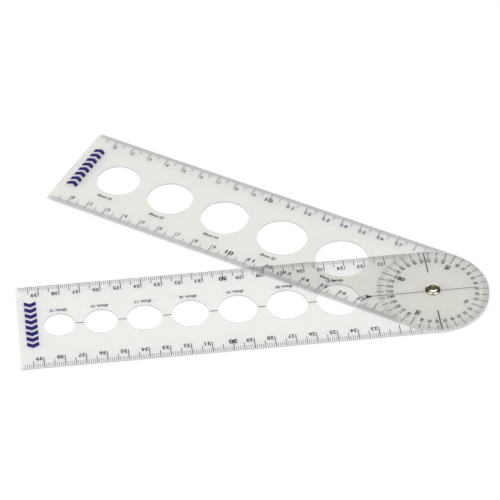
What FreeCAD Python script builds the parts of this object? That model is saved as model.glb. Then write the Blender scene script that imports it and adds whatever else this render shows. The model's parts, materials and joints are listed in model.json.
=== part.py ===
import FreeCAD, Part
import math
import os

import Sketcher

# Two-arm plastic goniometer, in millimetres.
# The origin is the middle of the rivet's flat underside, +Z is up along the pivot's axis, and the
# protractor arm lies along -X. Both arms are flat plates that turn about the one rivet.

# Driving dimensions: alias and value. They become the cells of the spreadsheet.
DRIVING = [
    # both arms
    ("arm_width", 55.0),
    ("arm_reach", 201.0),  # from the pivot to the square end: 200 of scale and 1 of margin
    ("plate_thickness", 0.8),
    ("corner_radius", 0.8),
    ("rest_angle", 34.3),  # the pointer arm's turn away from the protractor arm, in degrees
    # gauge holes in the protractor arm, counted from the pivot outwards
    ("protractor_first", 48.9),  # from the pivot to the middle of the first hole
    ("protractor_web", 7.5),  # plastic left between two holes
    ("gauge_26", 26.0),
    ("gauge_25", 25.0),
    ("gauge_24", 24.0),
    ("gauge_23", 23.0),
    ("gauge_22", 22.0),
    # gauge holes in the pointer arm, counted from the pivot outwards
    ("pointer_first", 46.2),
    ("pointer_web", 4.5),
    ("gauge_21", 21.0),
    ("gauge_20", 20.0),
    ("gauge_19", 19.0),
    ("gauge_18", 18.0),
    ("gauge_17", 17.0),
    ("gauge_16", 16.0),
    ("gauge_15", 15.0),
    # the rivet and its washer
    ("shank_diameter", 4.0),
    ("post_head_diameter", 5.0),
    ("post_head_height", 0.45),
    ("post_head_edge", 0.15),  # fillet round the lower head
    ("cap_diameter", 7.5),
    ("rim_radius", 0.5),  # the rolled rim's own radius, so the cap stands twice this high
    ("dish_floor", 0.35),  # metal left under the middle of the dish
    ("socket_depth", 0.15),  # the post's tip sits this deep in the cap
    ("washer_diameter", 6.4),
    ("washer_thickness", 0.15),
    # clearances of the moving arm
    ("pivot_clearance", 0.05),  # radial, round the shank
    ("face_clearance", 0.05),  # axial, on each side of the pointer arm
]

PROTRACTOR_HOLES = ["gauge_26", "gauge_25", "gauge_24", "gauge_23", "gauge_22"]
POINTER_HOLES = ["gauge_21", "gauge_20", "gauge_19", "gauge_18", "gauge_17", "gauge_16", "gauge_15"]

ORIGIN = FreeCAD.Vector(0, 0, 0)
UP = FreeCAD.Vector(0, 0, 1)

# Heights above the origin, each as an expression on the sheet, stacked from the bottom.
POINTER_Z = "sizes.post_head_height + sizes.face_clearance"
WASHER_Z = POINTER_Z + " + sizes.plate_thickness + sizes.face_clearance"
PROTRACTOR_Z = WASHER_Z + " + sizes.washer_thickness"
CAP_Z = PROTRACTOR_Z + " + sizes.plate_thickness"

doc = FreeCAD.newDocument("goniometer")


def make_sheet():
    """The spreadsheet of driving dimensions: a name, a value and the value's alias on each row."""
    sheet = doc.addObject("Spreadsheet::Sheet", "sizes")
    for row, (alias, value) in enumerate(DRIVING, start=1):
        sheet.set(f"A{row}", alias)
        sheet.set(f"B{row}", str(value))
        sheet.setAlias(f"B{row}", alias)
    doc.recompute()
    return sheet


sizes = make_sheet()


def value(alias):
    """The number that the sheet holds under this alias."""
    return sizes.getPropertyByName(alias)


# %% Helpers for bodies and sketches


def new_body(label, height):
    """A body with its own label, held at a height that follows the sheet."""
    body = doc.addObject("PartDesign::Body", label)
    body.Label = label
    body.setExpression("Placement.Base.z", height)
    return body


def sketch_on(body, role, name):
    """An empty sketch on one of the body's own origin planes."""
    sketch = body.newObject("Sketcher::SketchObject", name)
    plane = [p for p in body.Origin.OriginFeatures if p.Role == role][0]
    sketch.AttachmentSupport = [(plane, "")]
    sketch.MapMode = "FlatFace"
    return sketch


def bind(sketch, constraint, name, expression):
    """Add a constraint, name it and tie it to the sheet."""
    index = sketch.addConstraint(constraint)
    sketch.renameConstraint(index, name)
    sketch.setExpression(f"Constraints.{name}", expression)


def padded(body, sketch, name, length):
    """A pad of the sketch, upwards."""
    pad = body.newObject("PartDesign::Pad", name)
    pad.Profile = sketch
    pad.setExpression("Length", length)
    return pad


def pocketed(body, sketch, name):
    """The sketch cut right through the plate above it, with a check that it removed material."""
    doc.recompute()
    before = body.Shape.Volume
    pocket = body.newObject("PartDesign::Pocket", name)
    pocket.Profile = sketch
    pocket.Type = "ThroughAll"
    pocket.Reversed = True
    doc.recompute()
    if not body.Shape.Volume < before:
        raise RuntimeError(f"{name} removed nothing")
    return pocket


# %% The arms


def arm_outline(body):
    """The plate's outline: a half circle round the pivot, two straight edges and a square far end."""
    half = value("arm_width") / 2
    reach = value("arm_reach")
    corner = value("corner_radius")
    sketch = sketch_on(body, "XY_Plane", body.Label + "_outline")
    quarter = math.pi / 2

    def point(x, y):
        return FreeCAD.Vector(x, y, 0)

    def arc(centre, radius, start, end):
        circle = Part.Circle(centre, UP, radius)
        return sketch.addGeometry(Part.ArcOfCircle(circle, start * quarter, end * quarter), False)

    def line(start, end):
        return sketch.addGeometry(Part.LineSegment(start, end), False)

    round_end = arc(ORIGIN, half, -1, 1)
    far_edge = line(point(0, half), point(corner - reach, half))
    far_corner = arc(point(corner - reach, half - corner), corner, 1, 2)
    square_end = line(point(-reach, half - corner), point(-reach, corner - half))
    near_corner = arc(point(corner - reach, corner - half), corner, 2, 3)
    near_edge = line(point(corner - reach, -half), point(0, -half))

    start, end, centre = 1, 2, 3
    root = -1  # the sketch's own axes: -1 is the X axis, and its point 1 is the origin
    joined = [
        (round_end, end, far_edge, start),
        (far_edge, end, far_corner, start),
        (far_corner, end, square_end, start),
        (square_end, end, near_corner, start),
        (near_corner, end, near_edge, start),
        (near_edge, end, round_end, start),
    ]
    for first, first_point, second, second_point in joined:
        sketch.addConstraint(Sketcher.Constraint("Tangent", first, first_point, second, second_point))
    sketch.addConstraint(Sketcher.Constraint("Coincident", round_end, centre, root, start))
    sketch.addConstraint(Sketcher.Constraint("Horizontal", far_edge))
    sketch.addConstraint(Sketcher.Constraint("Equal", far_corner, near_corner))
    bind(sketch, Sketcher.Constraint("Radius", round_end, half), "end_radius", "sizes.arm_width / 2")
    bind(sketch, Sketcher.Constraint("Radius", far_corner, corner), "corner", "sizes.corner_radius")
    reach_constraint = Sketcher.Constraint("DistanceX", square_end, start, root, start, reach)
    bind(sketch, reach_constraint, "reach", "sizes.arm_reach")
    return sketch


def gauge_row(body, holes, first, web):
    """A row of round holes along the arm's middle, with the same web of plastic between neighbours."""
    sketch = sketch_on(body, "XY_Plane", body.Label + "_gauges")
    centre, x_axis, origin = 3, -1, 1
    place = 0
    inner = None
    for index, hole in enumerate(holes):
        diameter = value(hole)
        if inner is None:
            pitch = value(first)
            step = Sketcher.Constraint("DistanceX", index, centre, x_axis, origin, pitch)
            formula = f"sizes.{first}"
        else:
            pitch = (diameter + value(inner)) / 2 + value(web)
            step = Sketcher.Constraint("DistanceX", index, centre, index - 1, centre, pitch)
            formula = f"(sizes.{hole} + sizes.{inner}) / 2 + sizes.{web}"
        place += pitch
        sketch.addGeometry(Part.Circle(FreeCAD.Vector(-place, 0, 0), UP, diameter / 2), False)
        sketch.addConstraint(Sketcher.Constraint("PointOnObject", index, centre, x_axis))
        bind(sketch, Sketcher.Constraint("Diameter", index, diameter), hole, f"sizes.{hole}")
        bind(sketch, step, f"step_to_{hole}", formula)
        inner = hole
    return sketch


def pivot_hole(body, diameter, formula):
    """The round hole for the rivet's shank, in the middle of the round end."""
    sketch = sketch_on(body, "XY_Plane", body.Label + "_pivot")
    sketch.addGeometry(Part.Circle(ORIGIN, UP, diameter / 2), False)
    sketch.addConstraint(Sketcher.Constraint("Coincident", 0, 3, -1, 1))
    bind(sketch, Sketcher.Constraint("Diameter", 0, diameter), "pivot", formula)
    return sketch


def make_arm(label, height, holes, first, web, turns):
    """One flat arm: the padded outline, the pivot hole and the row of gauge holes.

    The arm that turns has room round the shank; the other grips it.
    """
    body = new_body(label, height)
    padded(body, arm_outline(body), label + "_plate", "sizes.plate_thickness")
    diameter = value("shank_diameter")
    formula = "sizes.shank_diameter"
    if turns:
        diameter += 2 * value("pivot_clearance")
        formula += " + 2 * sizes.pivot_clearance"
    pocketed(body, pivot_hole(body, diameter, formula), label + "_pivot_hole")
    pocketed(body, gauge_row(body, holes, first, web), label + "_gauge_holes")
    return body


protractor_arm = make_arm(
    "protractor_arm", PROTRACTOR_Z, PROTRACTOR_HOLES, "protractor_first", "protractor_web", False
)
pointer_arm = make_arm(
    "pointer_arm", POINTER_Z, POINTER_HOLES, "pointer_first", "pointer_web", True
)
pointer_arm.setExpression("Placement.Rotation.Angle", "sizes.rest_angle")


# %% The rivet and its washer


def revolved(body, sketch, name):
    """The half section turned all the way round the pivot's axis."""
    turn = body.newObject("PartDesign::Revolution", name)
    turn.Profile = sketch
    turn.ReferenceAxis = (sketch, ["V_Axis"])
    turn.Angle = 360
    return turn


def make_cap():
    """The upper half of the rivet: a rolled rim that runs smoothly into a dished middle."""
    body = new_body("rivet_cap", CAP_Z)
    sketch = sketch_on(body, "XZ_Plane", "cap_section")
    shank = value("shank_diameter") / 2
    rim = value("rim_radius")
    rim_place = value("cap_diameter") / 2 - rim
    floor = value("dish_floor")
    socket = value("socket_depth")
    # the dish is an arc about the axis that touches the rim's circle from outside
    dish_centre = (rim_place**2 + floor * (2 * rim - floor)) / (2 * (2 * rim - floor))
    dish = dish_centre - floor
    lean = math.atan2(dish_centre - rim, rim_place)
    quarter = math.pi / 2
    meeting = FreeCAD.Vector(rim_place - rim * math.cos(lean), rim + rim * math.sin(lean), 0)

    def point(radius, height):
        return FreeCAD.Vector(radius, height, 0)

    def line(start, end):
        return sketch.addGeometry(Part.LineSegment(start, end), False)

    def arc(centre, radius, start, end):
        circle = Part.Circle(centre, UP, radius)
        return sketch.addGeometry(Part.ArcOfCircle(circle, start, end), False)

    seat = line(point(shank, 0), point(rim_place, 0))
    rolled = arc(point(rim_place, rim), rim, -quarter, math.pi - lean)
    dished = arc(point(0, dish_centre), dish, -quarter, -lean)
    middle = line(point(0, floor), point(0, socket))
    ceiling = line(point(0, socket), point(shank, socket))
    wall = line(point(shank, socket), point(shank, 0))
    start, end, centre, x_axis, z_axis = 1, 2, 3, -1, -2
    for first, first_point, second, second_point in (
        (dished, start, middle, start),
        (middle, end, ceiling, start),
        (ceiling, end, wall, start),
        (wall, end, seat, start),
    ):
        joint = Sketcher.Constraint("Coincident", first, first_point, second, second_point)
        sketch.addConstraint(joint)
    sketch.addConstraint(Sketcher.Constraint("Tangent", seat, end, rolled, start))
    sketch.addConstraint(Sketcher.Constraint("Tangent", rolled, end, dished, end))
    sketch.addConstraint(Sketcher.Constraint("PointOnObject", seat, start, x_axis))
    sketch.addConstraint(Sketcher.Constraint("Horizontal", seat))
    sketch.addConstraint(Sketcher.Constraint("Horizontal", ceiling))
    sketch.addConstraint(Sketcher.Constraint("Vertical", wall))
    sketch.addConstraint(Sketcher.Constraint("PointOnObject", middle, start, z_axis))
    sketch.addConstraint(Sketcher.Constraint("PointOnObject", middle, end, z_axis))
    sketch.addConstraint(Sketcher.Constraint("PointOnObject", dished, centre, z_axis))

    def distance(kind, geometry, spot, size, name, formula):
        constraint = Sketcher.Constraint(kind, x_axis, 1, geometry, spot, size)
        bind(sketch, constraint, name, formula)

    bind(sketch, Sketcher.Constraint("Radius", rolled, rim), "rim", "sizes.rim_radius")
    place = "sizes.cap_diameter / 2 - sizes.rim_radius"
    distance("DistanceX", rolled, centre, rim_place, "rim_place", place)
    distance("DistanceX", wall, end, shank, "socket_radius", "sizes.shank_diameter / 2")
    distance("DistanceY", middle, end, socket, "socket", "sizes.socket_depth")
    distance("DistanceY", middle, start, floor, "floor", "sizes.dish_floor")
    revolved(body, sketch, "cap_turned")
    return body


def make_post():
    """The lower half of the rivet: a flat head with a rounded edge, and the shank through both arms."""
    body = new_body("rivet_post", "0")
    head = sketch_on(body, "XY_Plane", "post_head_circle")
    radius = value("post_head_diameter") / 2
    head.addGeometry(Part.Circle(ORIGIN, UP, radius), False)
    head.addConstraint(Sketcher.Constraint("Coincident", 0, 3, -1, 1))
    bind(head, Sketcher.Constraint("Diameter", 0, 2 * radius), "head", "sizes.post_head_diameter")
    disc = padded(body, head, "post_head", "sizes.post_head_height")
    doc.recompute()
    low_edge = min(
        range(len(disc.Shape.Edges)), key=lambda index: disc.Shape.Edges[index].BoundBox.ZMax
    )
    edge = body.newObject("PartDesign::Fillet", "post_head_rounding")
    edge.Base = (disc, [f"Edge{low_edge + 1}"])
    edge.setExpression("Radius", "sizes.post_head_edge")
    doc.recompute()
    shank = sketch_on(body, "XY_Plane", "shank_circle")
    shank.addGeometry(Part.Circle(ORIGIN, UP, value("shank_diameter") / 2), False)
    shank.addConstraint(Sketcher.Constraint("Coincident", 0, 3, -1, 1))
    across = Sketcher.Constraint("Diameter", 0, value("shank_diameter"))
    bind(shank, across, "shank", "sizes.shank_diameter")
    padded(body, shank, "shank_bar", CAP_Z + " + sizes.socket_depth")
    return body


def make_washer():
    """The thin washer that sits on the shank between the two arms."""
    body = new_body("friction_washer", WASHER_Z)
    sketch = sketch_on(body, "XY_Plane", "washer_rings")
    rings = (
        ("outside", "washer_diameter"),
        ("inside", "shank_diameter"),
    )
    for index, (name, alias) in enumerate(rings):
        sketch.addGeometry(Part.Circle(ORIGIN, UP, value(alias) / 2), False)
        sketch.addConstraint(Sketcher.Constraint("Coincident", index, 3, -1, 1))
        across = Sketcher.Constraint("Diameter", index, value(alias))
        bind(sketch, across, name, f"sizes.{alias}")
    padded(body, sketch, "washer_ring", "sizes.washer_thickness")
    return body


rivet_cap = make_cap()
rivet_post = make_post()
friction_washer = make_washer()


# %% Checks, then one STEP file for each piece

PIECES = [protractor_arm, pointer_arm, rivet_cap, rivet_post, friction_washer]

doc.recompute()
for item in doc.Objects:
    if "Invalid" in item.State or "Error" in item.State:
        raise RuntimeError(f"{item.Label} failed: {item.State}")
for piece in PIECES:
    shape = piece.Shape
    if shape.isNull() or not shape.isValid() or len(shape.Solids) != 1:
        raise RuntimeError(f"{piece.Label} isn't one valid solid")

os.makedirs("parts", exist_ok=True)
for piece in PIECES:
    shape = piece.Shape
    shape.exportStep(f"parts/{piece.Label}.step")
    box = shape.BoundBox
    print(
        f"{piece.Label}: {shape.Volume:.1f} mm3, x {box.XMin:.2f} to {box.XMax:.2f}, "
        f"y {box.YMin:.2f} to {box.YMax:.2f}, z {box.ZMin:.2f} to {box.ZMax:.2f}"
    )
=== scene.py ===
# %% [markdown]
# # A pocket goniometer, finished in Blender
#
# The real object is two strips of clear plastic, one on top of the other, held by one rivet.
# Each strip is a ruler with a row of gauge holes, and the upper one carries a printed dial
# round the rivet. The CAD model already has the strips, the rivet and the joint, so this
# lesson adds what CAD leaves out: the printed marks, the look of each material, and a studio.
#
# Everything is in metres, in the CAD model's own frame: the origin is under the middle of the
# rivet, +Z is up, and the upper strip points along -X.

import json
import math
from collections import namedtuple

import bmesh
import bpy
from mathutils import Matrix, Vector


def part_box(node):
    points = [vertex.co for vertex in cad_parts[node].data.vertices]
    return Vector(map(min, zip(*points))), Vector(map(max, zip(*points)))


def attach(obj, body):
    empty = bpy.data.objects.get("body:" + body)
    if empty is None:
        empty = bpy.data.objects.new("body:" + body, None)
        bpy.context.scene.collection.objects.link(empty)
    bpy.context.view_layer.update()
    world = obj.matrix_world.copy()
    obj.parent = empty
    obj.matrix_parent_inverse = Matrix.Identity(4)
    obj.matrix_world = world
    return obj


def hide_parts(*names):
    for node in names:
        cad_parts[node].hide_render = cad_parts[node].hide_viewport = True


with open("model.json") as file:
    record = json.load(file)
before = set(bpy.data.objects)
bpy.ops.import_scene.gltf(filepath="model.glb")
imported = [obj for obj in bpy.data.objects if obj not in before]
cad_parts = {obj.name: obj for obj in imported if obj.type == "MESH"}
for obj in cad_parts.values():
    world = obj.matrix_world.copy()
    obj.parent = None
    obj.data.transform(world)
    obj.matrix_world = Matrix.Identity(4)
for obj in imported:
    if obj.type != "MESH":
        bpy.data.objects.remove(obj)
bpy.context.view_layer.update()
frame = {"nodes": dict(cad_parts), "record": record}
MM = 0.001
print("CAD nodes:", sorted(frame["nodes"]))

# %% [markdown]
# ## Two strips, two ways of reading
#
# Both strips are printed as if they lay in one line, like one 40 cm ruler that opens at its
# middle. So each strip gets its own flat reading frame: x runs along the ruler as its figures
# are read, y is up the page, and the rivet is at x = 0. The upper strip's frame is the row's
# frame. The lower strip's frame is turned about the rivet, and the turn is worked out from
# where the CAD model has that strip's gauge holes, so it would follow a change of the CAD.

# %% The strips and their gauge holes
Strip = namedtuple("Strip", "body face side turn half holes")


def gauge_holes(side):
    """(distance from the rivet, radius in mm) of the holes bored on that side of the model."""
    found = []
    for mount in frame["record"]["mounts"]:
        if mount["kind"] == "bore" and mount["axis"][2] * side > 0:
            away = math.hypot(mount["pos_m"][0], mount["pos_m"][1]) / MM
            found.append((away, mount["dims"]["r_mm"]))
    return sorted(found)


def bore_direction(side):
    """The direction from the rivet to the first hole bored on that side, as an angle."""
    for mount in frame["record"]["mounts"]:
        if mount["kind"] == "bore" and mount["axis"][2] * side > 0:
            return math.atan2(mount["pos_m"][1], mount["pos_m"][0])


upper_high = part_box("protractor_arm")[1]
lower_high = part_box("pointer_arm")[1]
STRIP_HALF = upper_high.y / MM

upper_turn = bore_direction(1) - math.pi
upper = Strip("protractor", upper_high.z, -1, upper_turn, STRIP_HALF, gauge_holes(1))
lower = Strip("pointer", lower_high.z, 1, bore_direction(-1), STRIP_HALF, gauge_holes(-1))
print("upper strip:", len(upper.holes), "holes; lower strip:", len(lower.holes), "holes")
print("the lower strip is turned by", round(math.degrees(lower.turn), 1), "degrees")

# %% [markdown]
# ## Shader maths as plain Python
#
# A material in Blender is a tree of nodes. Wiring each Math node by hand hides the idea behind
# the plumbing, so `Wire` wraps one socket and turns `+`, `-`, `*` and `>` into Math nodes.
# Everything else comes from `Tree.node`, which sets a node's settings first and then feeds its
# sockets with numbers or other wires.

# %% One class for sockets, one for trees
class Wire:
    """One output socket of a tree. Sums on it add Math nodes."""

    def __init__(self, tree, socket):
        self.tree = tree
        self.socket = socket

    def sum(self, operation, first, second):
        return self.tree.node("Math", {"operation": operation}, {0: first, 1: second})

    def __add__(self, other):
        return self.sum("ADD", self, other)

    def __radd__(self, other):
        return self.sum("ADD", other, self)

    def __sub__(self, other):
        return self.sum("SUBTRACT", self, other)

    def __rsub__(self, other):
        return self.sum("SUBTRACT", other, self)

    def __mul__(self, other):
        return self.sum("MULTIPLY", self, other)

    def __rmul__(self, other):
        return self.sum("MULTIPLY", other, self)

    def __gt__(self, other):
        return self.sum("GREATER_THAN", self, other)


class Tree:
    """A node tree, of a material or of the world, that starts empty."""

    def __init__(self, owner):
        owner.use_nodes = True
        self.nodes = owner.node_tree.nodes
        self.links = owner.node_tree.links
        self.nodes.clear()

    def feed(self, socket, value):
        if isinstance(value, Wire):
            self.links.new(value.socket, socket)
        else:
            socket.default_value = value

    def node(self, kind, settings=None, values=None, out=0):
        made = self.nodes.new("ShaderNode" + kind)
        for name, setting in (settings or {}).items():
            setattr(made, name, setting)
        for name, value in (values or {}).items():
            self.feed(made.inputs[name], value)
        if len(made.outputs):
            return Wire(self, made.outputs[out])
        return None

    def mix(self, factor, first, second):
        """A mix of two colours."""
        return self.node("Mix", {"data_type": "RGBA"}, {0: factor, 6: first, 7: second}, 2)

    def noise(self, scale, detail=2.0, where=None):
        """Soft noise from 0 to 1, with about that many blobs in a metre."""
        place = where or self.node("TexCoord", out=3)
        return self.node("TexNoise", None, {"Vector": place, "Scale": scale, "Detail": detail})


print("nodes come from Tree.node, and sums from Wire")

# %% [markdown]
# ## Clear plastic
#
# The strips are clear sheet, sawn to shape. A Transparent shader would do for a flat sheet
# seen from above, but it has no thickness: the sawn edges and the holes would vanish, and
# what lies under the sheet would look deeper than it does. So the sheet is a Principled
# shader set to transmit, with the refractive index of such plastic, and a little haze is
# mixed in from soft noise.
#
# Cycles doesn't carry lamp light through bent paths well. So for shadow rays, and for the
# rays that light the floor, the sheet is a plain Transparent tint: a Light Path node picks.

# %% The plastic of the two strips
PLASTIC_INDEX = 1.49
SAWN_SHARE = 0.8
SAWN_BELOW = 0.5
CLEAR_TINT = (0.985, 0.985, 0.985, 1)
CLOUDS = 42.0
GRAINS = 900.0
UPPER_TINT = (0.892, 0.887, 0.853)
LOWER_TINT = (0.948, 0.949, 0.928)
HAZE = 0.03


def clear_plastic(name, tint, haze):
    """Clear sheet. tint is the share of light that one pass lets through, haze how milky it is."""
    material = bpy.data.materials.new(name)
    tree = Tree(material)
    cloud = tree.noise(CLOUDS, 3.0)
    grain = tree.noise(GRAINS, 2.0)
    scuffs = cloud * 0.6 + grain * 0.4
    facing = tree.node("NewGeometry", out=3)
    upright = tree.node("SeparateXYZ", None, {0: facing}, 2)
    flat = tree.node("Math", {"operation": "ABSOLUTE"}, {0: upright})
    sawn = 1 - (flat > SAWN_BELOW)
    sheet = tree.node(
        "BsdfPrincipled",
        None,
        {
            "Base Color": (*tint, 1),
            "Roughness": 0.01 + grain * 0.03,
            "IOR": PLASTIC_INDEX,
            "Transmission Weight": 1.0,
        },
    )
    face_colour = tree.mix(scuffs, (0.58, 0.58, 0.60, 1), (0.74, 0.73, 0.70, 1))
    sawn_colour = tree.mix(grain, (0.55, 0.55, 0.58, 1), (0.72, 0.72, 0.74, 1))
    milk = tree.node(
        "BsdfPrincipled",
        None,
        {
            "Base Color": tree.mix(sawn, face_colour, sawn_colour),
            "Roughness": 0.35 + grain * 0.2,
            "IOR": PLASTIC_INDEX,
        },
    )
    share = haze * (0.5 + scuffs) + sawn * SAWN_SHARE
    body = tree.node("MixShader", None, {0: share, 1: sheet, 2: milk})
    shadow_ray = tree.node("LightPath", out=1)
    diffuse_ray = tree.node("LightPath", out=2)
    lamps = tree.node("Math", {"operation": "MAXIMUM"}, {0: shadow_ray, 1: diffuse_ray})
    stand_in = tree.node("BsdfTransparent", None, {"Color": CLEAR_TINT})
    clear = tree.node("MixShader", None, {0: lamps, 1: body, 2: stand_in})
    tree.node("OutputMaterial", None, {"Surface": clear})
    return material


upper_plastic = clear_plastic("clear_plastic_upper", UPPER_TINT, HAZE)
lower_plastic = clear_plastic("clear_plastic_lower", LOWER_TINT, HAZE)
print("made", upper_plastic.name, "and", lower_plastic.name)

# %% [markdown]
# ## Screen ink
#
# The marks are screen printed. One flat colour would look like paint in a drawing, because
# screen ink isn't even: it is thicker in places and has a faint grain from the mesh of the
# screen. So its colour and gloss wander a little, on two sizes of noise.

# %% Screen inks
INK_FLOW = 260.0
SCREEN_MESH = 5200.0
INK_BUMP = 0.00001


def screen_ink(name, thin, thick):
    """Ink whose colour wanders between where it lies thin and where it lies thick."""
    material = bpy.data.materials.new(name)
    tree = Tree(material)
    flow = tree.noise(INK_FLOW, 3.0)
    screen = tree.noise(SCREEN_MESH, 1.0)
    cover = flow * 0.7 + screen * 0.3
    bumps = tree.node("Bump", None, {"Strength": 0.15, "Distance": INK_BUMP, "Height": screen})
    surface = tree.node(
        "BsdfPrincipled",
        None,
        {
            "Base Color": tree.mix(cover, thin, thick),
            "Roughness": 0.38 + flow * 0.2,
            "Specular IOR Level": 0.25,
            "Normal": bumps,
        },
    )
    tree.node("OutputMaterial", None, {"Surface": surface})
    return material


navy_ink = screen_ink("ink_navy", (0.045, 0.045, 0.14, 1), (0.012, 0.010, 0.055, 1))
mark_ink = screen_ink("ink_navy_band", (0.036, 0.027, 0.25, 1), (0.018, 0.013, 0.15, 1))
grey_ink = screen_ink("ink_grey", (0.075, 0.08, 0.20, 1), (0.03, 0.03, 0.10, 1))
dial_ink = screen_ink("ink_grey_dial", (0.20, 0.20, 0.32, 1), (0.11, 0.11, 0.20, 1))
line_ink = screen_ink("ink_grey_line", (0.30, 0.30, 0.32, 1), (0.19, 0.19, 0.21, 1))
print("inks:", [ink.name for ink in (navy_ink, mark_ink, grey_ink, dial_ink, line_ink)])

# %% [markdown]
# ## Nickel and nylon
#
# The rivet is bright nickel plate over brass, which is nearly a mirror with a warm tone and
# hair-fine polishing marks. Those run round its middle, so their noise is read by the distance
# from the axis alone. Where the cap meets the plastic, painted shade darkens the metal nearly to
# black, and a height picks that foot out. The thin washer between the strips is milky nylon.

# %% Nickel
# Heights above the plastic over which the painted shade at the cap's foot fades out.
PAINTED_SHADE_LOW = 0.00040
PAINTED_SHADE_HIGH = 0.00052
POLISH_LINES = 9000.0
STAINS = 700.0
POLISH_BUMP = 0.00001
# The near-black colour of the painted shade at the cap's foot.
PAINTED_FOOT_SHADE = (0.025, 0.022, 0.016, 1)


def nickel_plate(name, foot=None):
    """Bright nickel. Where foot is a height, painted shade darkens the metal just above it."""
    material = bpy.data.materials.new(name)
    tree = Tree(material)
    place = tree.node("TexCoord", out=3)
    x = tree.node("SeparateXYZ", None, {0: place}, 0)
    y = tree.node("SeparateXYZ", None, {0: place}, 1)
    away = tree.node("Math", {"operation": "SQRT"}, {0: x * x + y * y})
    rings = tree.node("CombineXYZ", None, {0: away, 1: 0.0, 2: 0.0})
    turning = tree.noise(POLISH_LINES, 2.0, rings)
    stain = tree.noise(STAINS, 3.0, place)
    colour = tree.mix(stain, (0.70, 0.66, 0.56, 1), (0.84, 0.82, 0.76, 1))
    rough = 0.05 + turning * 0.05 + stain * 0.04
    # Painted shade: just above the plastic the colour is mixed towards near black, and the metal
    # is made rougher there.
    if foot is not None:
        z = tree.node("SeparateXYZ", None, {0: place}, 2)
        painted_foot_shade = tree.node(
            "MapRange", None, {0: z - foot, 1: PAINTED_SHADE_LOW, 2: PAINTED_SHADE_HIGH, 3: 1.0, 4: 0.0}
        )
        colour = tree.mix(painted_foot_shade, colour, PAINTED_FOOT_SHADE)
        rough = rough + painted_foot_shade * 0.3
    surface = tree.node(
        "BsdfPrincipled",
        None,
        {
            "Base Color": colour,
            "Metallic": 1.0,
            "Roughness": rough,
            "Normal": tree.node(
                "Bump", None, {"Strength": 0.10, "Distance": POLISH_BUMP, "Height": turning}
            ),
        },
    )
    tree.node("OutputMaterial", None, {"Surface": surface})
    return material


nickel = nickel_plate("nickel")
# The cap's nickel carries painted shade at its foot, where it meets the plastic.
cap_nickel = nickel_plate("nickel_cap", upper_high.z)
print("made", nickel.name, "and", cap_nickel.name)

# %% Nylon, and a material for every CAD node
NYLON_CLOUDS = 800.0
NYLON_BUMP = 0.00002


def milky_nylon():
    """Milky white plastic with soft clouds in it."""
    material = bpy.data.materials.new("washer_nylon")
    tree = Tree(material)
    cloud = tree.noise(NYLON_CLOUDS, 3.0)
    surface = tree.node(
        "BsdfPrincipled",
        None,
        {
            "Base Color": tree.mix(cloud, (0.78, 0.78, 0.74, 1), (0.90, 0.90, 0.88, 1)),
            "Roughness": 0.42 + cloud * 0.2,
            "Normal": tree.node(
                "Bump", None, {"Strength": 0.2, "Distance": NYLON_BUMP, "Height": cloud}
            ),
        },
    )
    tree.node("OutputMaterial", None, {"Surface": surface})
    return material


def dress(node, material):
    """Gives a CAD node its material."""
    mesh = frame["nodes"][node].data
    mesh.materials.clear()
    mesh.materials.append(material)


dress("protractor_arm", upper_plastic)
dress("pointer_arm", lower_plastic)
dress("rivet_cap", cap_nickel)
dress("rivet_post", nickel)
dress("friction_washer", milky_nylon())
print("materials on", len(frame["nodes"]), "CAD nodes")

# %% [markdown]
# ## The rivet's cap
#
# The cap is the one piece of metal that shows, and polished metal shows its shape by what it
# mirrors. The CAD cap is right in size but cut into facets, so its reflections would break up.
# Here it is turned again on a finer lathe, inside the CAD cap's own box: a broad outer flank,
# a rolled crest, and a dish that runs smoothly down to the middle. The section is worked out
# from arcs that meet at a common slope, so that no crease shows.

# %% The section of the cap
CREST_RADIUS = 2.60
FOOT_ROUND = 0.06
INNER_ROLL = 1.50
DISH_LEAN = math.radians(20.5)
SOCKET_RADIUS = 2.0
SOCKET_DEEP = 0.15
cap_low, cap_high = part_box("rivet_cap")
CAP_RADIUS = cap_high.x / MM
CAP_HEIGHT = (cap_high.z - cap_low.z) / MM


def arc_points(centre, across, up, start, end, steps):
    """Points on an ellipse's arc, from one angle to another."""
    points = []
    for i in range(steps + 1):
        angle = start + (end - start) * i / steps
        points.append((centre[0] + across * math.cos(angle), centre[1] + up * math.sin(angle)))
    return points


def cap_section():
    """(radius, height) in mm of the cap's section, from the socket round to the dish's middle."""
    quarter = math.pi / 2
    flank = CAP_RADIUS - CREST_RADIUS
    section = [(0.0, SOCKET_DEEP), (SOCKET_RADIUS, SOCKET_DEEP), (SOCKET_RADIUS, 0.0)]
    section += arc_points((CREST_RADIUS, FOOT_ROUND), flank, FOOT_ROUND, -quarter, 0, 8)
    crest = CAP_HEIGHT - FOOT_ROUND
    section += arc_points((CREST_RADIUS, FOOT_ROUND), flank, crest, 0, quarter, 20)[1:]
    roll = (CREST_RADIUS, CAP_HEIGHT - INNER_ROLL)
    section += arc_points(roll, INNER_ROLL, INNER_ROLL, quarter, quarter + DISH_LEAN, 8)[1:]
    end_radius, end_height = section[-1]
    dish = end_radius / math.sin(DISH_LEAN)
    middle = (0.0, end_height + dish * math.cos(DISH_LEAN))
    section += arc_points(middle, dish, dish, DISH_LEAN - quarter, -quarter, 16)[1:]
    return section


print("the section has", len(cap_section()), "points")

# %% The lathe
SPIN_STEPS = 128


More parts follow.
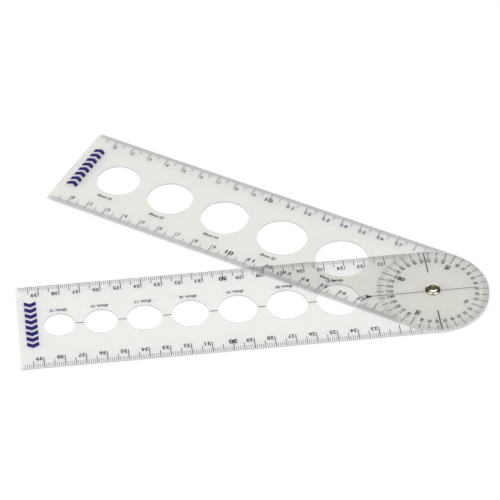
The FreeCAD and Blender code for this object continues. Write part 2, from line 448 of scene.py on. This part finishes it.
def turned(name, section, low, material):
    """A closed mesh turned about the rivet's axis from a section that starts and ends on it."""
    points = [(0.0, 0.0, section[0][1])]
    rings = section[1:-1]
    for radius, height in rings:
        for i in range(SPIN_STEPS):
            angle = 2 * math.pi * i / SPIN_STEPS
            points.append((radius * math.cos(angle), radius * math.sin(angle), height))
    points.append((0.0, 0.0, section[-1][1]))
    last = len(points) - 1
    top_ring = 1 + (len(rings) - 1) * SPIN_STEPS
    faces = []
    for i in range(SPIN_STEPS):
        after = (i + 1) % SPIN_STEPS
        faces.append((0, 1 + after, 1 + i))
        for ring in range(len(rings) - 1):
            a = 1 + ring * SPIN_STEPS
            b = a + SPIN_STEPS
            faces.append((a + i, a + after, b + after, b + i))
        faces.append((top_ring + i, top_ring + after, last))
    mesh = bpy.data.meshes.new(name)
    mesh.from_pydata([(x * MM, y * MM, low + z * MM) for x, y, z in points], [], faces)
    mesh.materials.append(material)
    mesh.polygons.foreach_set("use_smooth", [True] * len(mesh.polygons))
    made = bpy.data.objects.new(name, mesh)
    bpy.context.scene.collection.objects.link(made)
    return made


cap = turned("rivet_cap_turned", cap_section(), cap_low.z, cap_nickel)
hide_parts("rivet_cap")
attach(cap, "protractor")
print("the cap is", round(2 * CAP_RADIUS, 2), "mm across and", round(CAP_HEIGHT, 2), "mm high")

# %% [markdown]
# ## Figures from the built-in font
#
# A text object could be laid on the plastic as it is, but each one would be a separate piece.
# Instead a text curve is made solid, turned to a mesh, and its seams are welded so that the
# glyph is closed. The same words come up often, so each setting is kept and used again.

# %% Glyphs as closed meshes
GLYPH_SIDES = 3
GLYPH_DEEP = 0.05
SAME_POINT = 1e-5
glyph_store = {}


def glyphs(words, bold):
    """Points (x, y, is it on top) and faces of words set in the built-in plain font."""
    key = (words, bold)
    if key not in glyph_store:
        curve = bpy.data.curves.new("setting", "FONT")
        curve.body = words
        curve.extrude = GLYPH_DEEP
        curve.offset = bold
        curve.resolution_u = GLYPH_SIDES
        holder = bpy.data.objects.new("setting", curve)
        mesh = bpy.data.meshes.new_from_object(holder)
        shape = bmesh.new()
        shape.from_mesh(mesh)
        bmesh.ops.remove_doubles(shape, verts=shape.verts, dist=SAME_POINT)
        points = [(v.co.x, v.co.y, v.co.z > 0) for v in shape.verts]
        faces = [[v.index for v in f.verts] for f in shape.faces]
        shape.free()
        bpy.data.meshes.remove(mesh)
        bpy.data.objects.remove(holder)
        bpy.data.curves.remove(curve)
        glyph_store[key] = (points, faces)
    return glyph_store[key]


print("a 0 has", len(glyphs("0", 0.0)[1]), "faces")

# %% [markdown]
# ## Printed marks as thin slabs
#
# A printed mark could be a picture on the plastic or a pattern in its shader. Here each mark
# is a real slab of ink a few hundredths of a millimetre thick, because a slab has a crisp edge
# at any distance and can be measured. Its underside is sunk a
# little into the plastic so that the two faces never lie in one plane.
#
# `Print` gathers the slabs of one ink on one strip in that strip's reading frame, in
# millimetres, and at the end makes them into one mesh that rides on the strip's body.

# %% The print gatherer
INK_ABOVE = 0.022
INK_BELOW = 0.010


class Print:
    """Flat closed slabs of ink on one strip, in mm in its reading frame."""

    def __init__(self, strip):
        self.strip = strip
        self.points = []
        self.faces = []

    def slab(self, corners):
        """A slab whose outline is these corners, in order against the clock."""
        first = len(self.points)
        count = len(corners)
        self.points += [(x, y, INK_ABOVE) for x, y in corners]
        self.points += [(x, y, -INK_BELOW) for x, y in corners]
        self.faces.append([first + i for i in range(count)])
        self.faces.append([first + count + i for i in reversed(range(count))])
        for i in range(count):
            after = (i + 1) % count
            self.faces.append([first + after, first + i, first + count + i, first + count + after])

    def stroke(self, start, end, width):
        """A straight line from start to end."""
        along = (Vector(end) - Vector(start)).normalized()
        aside = Vector((-along.y, along.x)) * width / 2
        a, b = Vector(start), Vector(end)
        self.slab([tuple(p) for p in (a - aside, b - aside, b + aside, a + aside)])

    def text(self, words, centre, height, width=None, turn=0.0, bold=0.0):
        """Words centred on a point, that high and wide, turned about their middle."""
        points, faces = glyphs(words, bold)
        xs = [p[0] for p in points]
        ys = [p[1] for p in points]
        scale_y = height / (max(ys) - min(ys))
        scale_x = width / (max(xs) - min(xs)) if width else scale_y
        middle_x = (max(xs) + min(xs)) / 2
        middle_y = (max(ys) + min(ys)) / 2
        first = len(self.points)
        for x, y, top in points:
            across = (x - middle_x) * scale_x
            up = (y - middle_y) * scale_y
            self.points.append(
                (
                    centre[0] + across * math.cos(turn) - up * math.sin(turn),
                    centre[1] + across * math.sin(turn) + up * math.cos(turn),
                    INK_ABOVE if top else -INK_BELOW,
                )
            )
        self.faces += [[first + i for i in face] for face in faces]

    def piece(self, name, ink):
        """The gathered slabs as one object on the strip."""
        mesh = bpy.data.meshes.new(name)
        mesh.from_pydata(self.points, [], self.faces)
        lift = Matrix.Translation((0, 0, self.strip.face))
        mesh.transform(lift @ Matrix.Rotation(self.strip.turn, 4, "Z") @ Matrix.Scale(MM, 4))
        mesh.materials.append(ink)
        made = bpy.data.objects.new(name, mesh)
        bpy.context.scene.collection.objects.link(made)
        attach(made, self.strip.body)
        print(name, "has", len(mesh.polygons), "faces")
        return made


print("ink slabs are", INK_ABOVE + INK_BELOW, "mm thick")

# %% [markdown]
# ## The ruler along both edges
#
# Each long edge of each strip has a tick every millimetre, a longer one every five, and the
# longest at each centimetre. The upper strip counts 0 to 20 cm towards the rivet, and the
# lower strip goes on from there to 40 cm. Near the rivet the dial's ring comes first, so a
# tick is cut off where it would enter the ring, and left out if nothing of it is left.

# %% Ticks of the rulers
EDGE_GAP = 0.2
TICK_MM = 2.4
TICK_5 = 4.4
TICK_10 = 6.6
UPPER_THIN = 0.26
LOWER_THIN = 0.19
FINE = 0.32
MEDIUM = 0.38
RULER_LENGTH = 200
SHORTEST = 0.3
DIAL_RADIUS = 27.2
DIAL_GAP = 0.3
DIAL_CLEAR = DIAL_RADIUS + DIAL_GAP


def tick_size(count, thin):
    """(length, width) of the tick at that many millimetres."""
    if count % 10 == 0:
        return TICK_10, MEDIUM
    if count % 5 == 0:
        return TICK_5, FINE
    return TICK_MM, thin


def ruler(strip, thin, name):
    """The millimetre ticks along both long edges of a strip."""
    marks = Print(strip)
    edge = strip.half - EDGE_GAP
    for away in range(1, RULER_LENGTH):
        length, width = tick_size(away, thin)
        x = strip.side * away
        inner = edge - length
        if away < DIAL_CLEAR:
            inner = max(inner, math.sqrt(DIAL_CLEAR**2 - away**2))
        if inner < edge - SHORTEST:
            marks.stroke((x, inner), (x, edge), width)
            marks.stroke((x, -edge), (x, -inner), width)
    return marks.piece(name, grey_ink)


ruler(upper, UPPER_THIN, "protractor_ruler_ticks")
ruler(lower, LOWER_THIN, "pointer_ruler_ticks")

# %% [markdown]
# ## The ruler's figures
#
# A figure stands just to the right of its centimetre tick, level with the tick's inner end.
# The tens are bigger and bolder, and sit right on their tick. Both rows read the same way up.

# %% Figures of the rulers
FIGURE_HEIGHT = 2.3
FIGURE_BOLD = 0.022
FIGURE_GAP = 0.55
DIGIT_GAP = 0.9
FIGURE_LINE = 21.6
DIGIT_WIDE = 1.4
PAIR_WIDE = 3.2
NARROW_ONE = 0.55
TEN_HEIGHT = 2.75
TEN_WIDE = 4.1
TEN_BOLD = 0.035


def figures(strip, first, numbers, name, lone=None):
    """Figures along both edges, or one edge for lone. first is the figure at the rivet."""
    marks = Print(strip)
    for number in numbers:
        x = (number - first) * 10
        lines = (FIGURE_LINE, -FIGURE_LINE)
        if number == lone:
            lines = (-FIGURE_LINE,)
        for line in lines:
            if number % 10 == 0:
                marks.text(str(number), (x, line), TEN_HEIGHT, TEN_WIDE, bold=TEN_BOLD)
                continue
            wide, gap = (DIGIT_WIDE, DIGIT_GAP) if number < 10 else (PAIR_WIDE, FIGURE_GAP)
            if number == 1:
                wide = wide * NARROW_ONE
            middle = x + gap + wide / 2
            marks.text(str(number), (middle, line), FIGURE_HEIGHT, wide, bold=FIGURE_BOLD)
    return marks.piece(name, navy_ink)


figures(upper, 20, range(1, 18), "protractor_ruler_figures")
figures(lower, 20, range(22, 40), "pointer_ruler_figures", lone=22)

# %% [markdown]
# ## Labels under the gauge holes
#
# Under each hole stands its diameter, with the usual diameter sign and the unit. The size
# comes from the CAD model's own hole, so a label can't disagree with what it labels.

# %% Labels of the holes
LABEL_HEIGHT = 1.8
LABEL_WIDE = 8.2
LABEL_BOLD = 0.03
UPPER_LABEL_GAP = 3.0
LOWER_LABEL_GAP = 2.3


def hole_labels(strip, gap, name):
    """The diameter of each hole of a strip, that far under the hole's edge."""
    marks = Print(strip)
    for away, radius in strip.holes:
        words = "Ømm " + str(round(2 * radius))
        place = (strip.side * away, -(radius + gap))
        marks.text(words, place, LABEL_HEIGHT, LABEL_WIDE, bold=LABEL_BOLD)
    return marks.piece(name, navy_ink)


hole_labels(upper, UPPER_LABEL_GAP, "protractor_hole_labels")
hole_labels(lower, LOWER_LABEL_GAP, "pointer_hole_labels")

# %% [markdown]
# ## The dial
#
# The dial is a full circle of one-degree ticks at the very edge of the round end. Every tenth
# degree has a longer tick, and the four quarters have the longest. The figures are laid along
# the radius: on the half towards the strip they read inwards, from 180 in the middle, and on
# the free half they read outwards, from 0. The quarters are bigger and stand further in.

# %% Ticks of the dial
DEGREE_IN = 24.8
TEN_DEGREES_IN = 23.6
QUARTER_IN = 20.6
DIAL_THIN = 0.055
DIAL_FINE = 0.36


def on_circle(radius, degrees):
    """The point at that radius and that angle from +x."""
    angle = math.radians(degrees)
    return radius * math.cos(angle), radius * math.sin(angle)


degrees = Print(upper)
tens = Print(upper)
for degree in range(360):
    rim = on_circle(DIAL_RADIUS, degree)
    if degree % 90 == 0:
        tens.stroke(on_circle(QUARTER_IN, degree), rim, DIAL_FINE)
    elif degree % 10 == 0:
        tens.stroke(on_circle(TEN_DEGREES_IN, degree), rim, DIAL_FINE)
    else:
        degrees.stroke(on_circle(DEGREE_IN, degree), rim, DIAL_THIN)
degrees.piece("dial_degree_ticks", dial_ink)
tens.piece("dial_ten_ticks", grey_ink)

# %% Figures of the dial
DIAL_FIGURE_OUT = 22.6
DIAL_FIGURE_HEIGHT = 1.9
DIAL_DIGIT = 1.1
DIAL_BOLD = 0.022
QUARTER_MIDDLE = 17.6
QUARTER_HEIGHT = 2.7
QUARTER_DIGIT = 1.72
QUARTER_BOLD = 0.028

small = Print(upper)
large = Print(upper)
for degree in range(0, 360, 10):
    reading = min(degree, 360 - degree)
    words = str(reading)
    left = 90 < degree < 270
    turn = math.radians(degree - 180 if left else degree)
    if degree % 90 == 0:
        if degree == 270:
            turn = math.radians(90)
        place = on_circle(QUARTER_MIDDLE, degree)
        wide = QUARTER_DIGIT * len(words)
        large.text(words, place, QUARTER_HEIGHT, wide, turn, bold=QUARTER_BOLD)
    else:
        wide = DIAL_DIGIT * len(words)
        place = on_circle(DIAL_FIGURE_OUT - wide / 2, degree)
        small.text(words, place, DIAL_FIGURE_HEIGHT, wide, turn, bold=DIAL_BOLD)
small.piece("dial_figures", navy_ink)
large.piece("dial_quarter_figures", navy_ink)

# %% [markdown]
# ## The pointer's hand
#
# The lower strip shows its direction on the dial by a thin grey line through the rivet, with
# a barbed arrowhead at the ring, and by two navy bars square to it. The line goes on as short
# dashes between the gauge holes.

# %% Arrow, line, bars and dashes
RIVET_CLEAR = 4.0
LINE_WIDE = 0.42
LINE_FAR = 21.5
ARROW_TIP = 29.2
ARROW_LONG = 4.3
ARROW_HALF = 1.55
ARROW_NOTCH = 0.9
BAR_IN = 13.3
BAR_OUT = 26.6
BAR_WIDE = 0.55
DASH_WIDE = 0.5
DASH_GAP = 0.25

hand = Print(lower)
hand.stroke((-LINE_FAR, 0), (-RIVET_CLEAR, 0), LINE_WIDE)
hand.stroke((RIVET_CLEAR, 0), (ARROW_TIP, 0), LINE_WIDE)
edges = [(away - radius, away + radius) for away, radius in lower.holes]
hand.stroke((ARROW_TIP + ARROW_LONG, 0), (edges[0][0] - DASH_GAP, 0), DASH_WIDE)
for near, far in zip(edges, edges[1:]):
    hand.stroke((near[1] + DASH_GAP, 0), (far[0] - DASH_GAP, 0), DASH_WIDE)
hand.piece("pointer_centre_line", line_ink)

arrow = Print(lower)
barb = ARROW_TIP + ARROW_LONG
arrow.slab([(ARROW_TIP, 0), (barb, -ARROW_HALF), (barb - ARROW_NOTCH, 0), (barb, ARROW_HALF)])
arrow.piece("pointer_arrowhead", navy_ink)

bars = Print(lower)
for side in (1, -1):
    bars.stroke((0, side * BAR_IN), (0, side * BAR_OUT), BAR_WIDE)
bars.piece("pointer_cross_bars", navy_ink)

# %% [markdown]
# ## The mark at each end
#
# The free end of each strip carries a block of strong navy print across it. Here it is a plain
# row of chevrons, which stands for nothing and only fills the same place.

# %% Chevron bands
BAND_NEAR = 191.6
BAND_DEEP = 5.8
BAND_HALF = 15.7
BAND_ASIDE = 1.5
CHEVRONS = 8
CHEVRON_FILL = 0.62


def chevron_band(strip, name):
    """A row of chevrons across the free end of a strip."""
    marks = Print(strip)
    step = 2 * BAND_HALF / CHEVRONS
    bottom = -strip.side * BAND_ASIDE - BAND_HALF
    thick = step * CHEVRON_FILL
    rise = step - thick
    a = strip.side * BAND_NEAR
    b = strip.side * (BAND_NEAR + BAND_DEEP)
    left, right = min(a, b), max(a, b)
    middle = (left + right) / 2
    for count in range(CHEVRONS):
        low = bottom + count * step
        lower_side = [(left, low), (middle, low + rise), (right, low)]
        marks.slab(lower_side + [(x, y + thick) for x, y in reversed(lower_side)])
    return marks.piece(name, mark_ink)


chevron_band(upper, "protractor_end_band")
chevron_band(lower, "pointer_end_band")

# %% [markdown]
# ## The sweep
#
# The strips lie on a plain white sweep that is lit evenly, as on a light table. Lamps above
# would throw hard shadows through the clear sheet, so the sweep gives some light of its own.

# %% The white sweep
FLOOR_DROP = 0.0004
FLOOR_HALF = 4.0
FLOOR_CLOUDS = 0.6
FLOOR_GLOW = 0.40


def white_sweep():
    """A wide flat floor that glows a little."""
    mesh = bpy.data.meshes.new("sweep")
    turns = ((-1, -1), (1, -1), (1, 1), (-1, 1))
    corners = [(x * FLOOR_HALF, y * FLOOR_HALF, -FLOOR_DROP) for x, y in turns]
    mesh.from_pydata(corners, [], [(0, 1, 2, 3)])
    material = bpy.data.materials.new("sweep")
    tree = Tree(material)
    cloud = tree.noise(FLOOR_CLOUDS, 2.0)
    surface = tree.node(
        "BsdfPrincipled",
        None,
        {
            "Base Color": tree.mix(cloud, (0.88, 0.88, 0.88, 1), (0.90, 0.90, 0.90, 1)),
            "Roughness": 0.9,
            "Specular IOR Level": 0.0,
            "Emission Color": (0.91, 0.93, 1.0, 1),
            "Emission Strength": FLOOR_GLOW,
        },
    )
    tree.node("OutputMaterial", None, {"Surface": surface})
    mesh.materials.append(material)
    floor = bpy.data.objects.new("sweep", mesh)
    bpy.context.scene.collection.objects.link(floor)
    return floor


print("the", white_sweep().name, "is", 2 * FLOOR_HALF, "m across")

# %% [markdown]
# ## The room that the rivet mirrors
#
# Polished metal has hardly any look of its own: it shows the room. A plain white world would
# make the cap flat grey, so the world is a studio in three parts. A broad window stands in
# front and reaches past overhead, with a dark stand in its middle. A lamp stands low behind.
# The walls are dark, and a little warmer at the back. Directions are turned to face the
# camera's side of the room, and the camera itself sees plain white.

# %% The room
CAMERA_AZIMUTH = math.radians(27.33)
WINDOW_SIDE = 0.27
WINDOW_EDGE = (-0.30, 0.05)
WINDOW_GAP = 0.26
STAND_EDGE = (-0.02, 0.03)
LAMP_SPREAD = 0.36
LAMP_TOP = 0.53
LAMP_EDGE = (0.0, 0.06)
WALL_FOOT = (0.1, 0.6)
WALL_HALF = 0.6
WALL_EDGE = (0.0, 0.3)
DARK_WALL = (0.018, 0.015, 0.010, 1)
WARM_WALL = (0.090, 0.075, 0.049, 1)
WINDOW_LIGHT = (1.0, 0.995, 0.97, 1)
ROOM_STRENGTH = 1.6


def studio_world():
    """A room with a window in front, a lamp low behind, and dark walls."""
    world = bpy.data.worlds.new("studio")
    bpy.context.scene.world = world
    tree = Tree(world)
    look = tree.node("TexCoord", out=0)
    turned_look = tree.node(
        "VectorRotate", {"rotation_type": "Z_AXIS"}, {"Vector": look, "Angle": -CAMERA_AZIMUTH}
    )
    across = tree.node("SeparateXYZ", None, {0: turned_look}, 0)
    behind = tree.node("SeparateXYZ", None, {0: turned_look}, 1)
    up = tree.node("SeparateXYZ", None, {0: turned_look}, 2)
    aside = tree.node("Math", {"operation": "ABSOLUTE"}, {0: across})

    def rise(value, span):
        """0 where value is under the span, 1 where it is over it, and smooth between."""
        settings = {"interpolation_type": "SMOOTHSTEP"}
        limits = {0: value, 1: span[0], 2: span[1], 3: 0.0, 4: 1.0}
        return tree.node("MapRange", settings, limits)

    window = rise(0 - behind - aside * WINDOW_SIDE, WINDOW_EDGE)
    stand = rise(aside + behind * WINDOW_GAP, STAND_EDGE)
    lamp = rise(behind * LAMP_SPREAD - aside, LAMP_EDGE) * rise(LAMP_TOP - up, LAMP_EDGE)
    bright = window * stand + lamp
    back_wall = rise(up, WALL_FOOT) * rise(WALL_HALF - aside, WALL_EDGE)
    dim = tree.mix(back_wall, DARK_WALL, WARM_WALL)
    room = tree.mix(bright, dim, WINDOW_LIGHT)
    camera_ray = tree.node("LightPath", out=0)
    lit = tree.node("Background", None, {"Color": room, "Strength": ROOM_STRENGTH})
    plain = tree.node("Background", None, {"Color": (1, 1, 1, 1), "Strength": 1.0})
    shown = tree.node("MixShader", None, {0: camera_ray, 1: lit, 2: plain})
    tree.node("OutputWorld", None, {"Surface": shown})
    return world


print("world:", studio_world().name)

# %% [markdown]
# ## The camera
#
# A long lens from well back, looking down at a bit over 40 degrees, keeps the far ends of the
# strips nearly as large as the near ones.

# %% Camera
CAMERA_ELEVATION = math.radians(43.30)
CAMERA_ROLL = math.radians(-0.15)
CAMERA_DISTANCE = 1.222
CAMERA_TARGET = Vector((-0.0918, -0.0153, 0.00230))
CAMERA_LENS = 178.4
SENSOR_WIDE = 36.0
scene = bpy.context.scene
scene.view_settings.view_transform = "Standard"


def long_lens_camera():
    """The camera, aimed at the target from its azimuth and elevation."""
    data = bpy.data.cameras.new("camera")
    data.lens = CAMERA_LENS
    data.sensor_width = SENSOR_WIDE
    data.clip_start = 0.05
    data.clip_end = 20.0
    camera = bpy.data.objects.new("camera", data)
    scene.collection.objects.link(camera)
    flat = math.cos(CAMERA_ELEVATION)
    back_x = math.sin(CAMERA_AZIMUTH) * flat
    back_y = -math.cos(CAMERA_AZIMUTH) * flat
    back = Vector((back_x, back_y, math.sin(CAMERA_ELEVATION)))
    camera.rotation_mode = "QUATERNION"
    facing = (-back).to_track_quat("-Z", "Y")
    roll = Matrix.Rotation(CAMERA_ROLL, 3, "Z").to_quaternion()
    camera.rotation_quaternion = facing @ roll
    camera.location = CAMERA_TARGET + back * CAMERA_DISTANCE
    scene.camera = camera
    return camera


camera = long_lens_camera()
print("camera at", [round(v, 4) for v in camera.location])
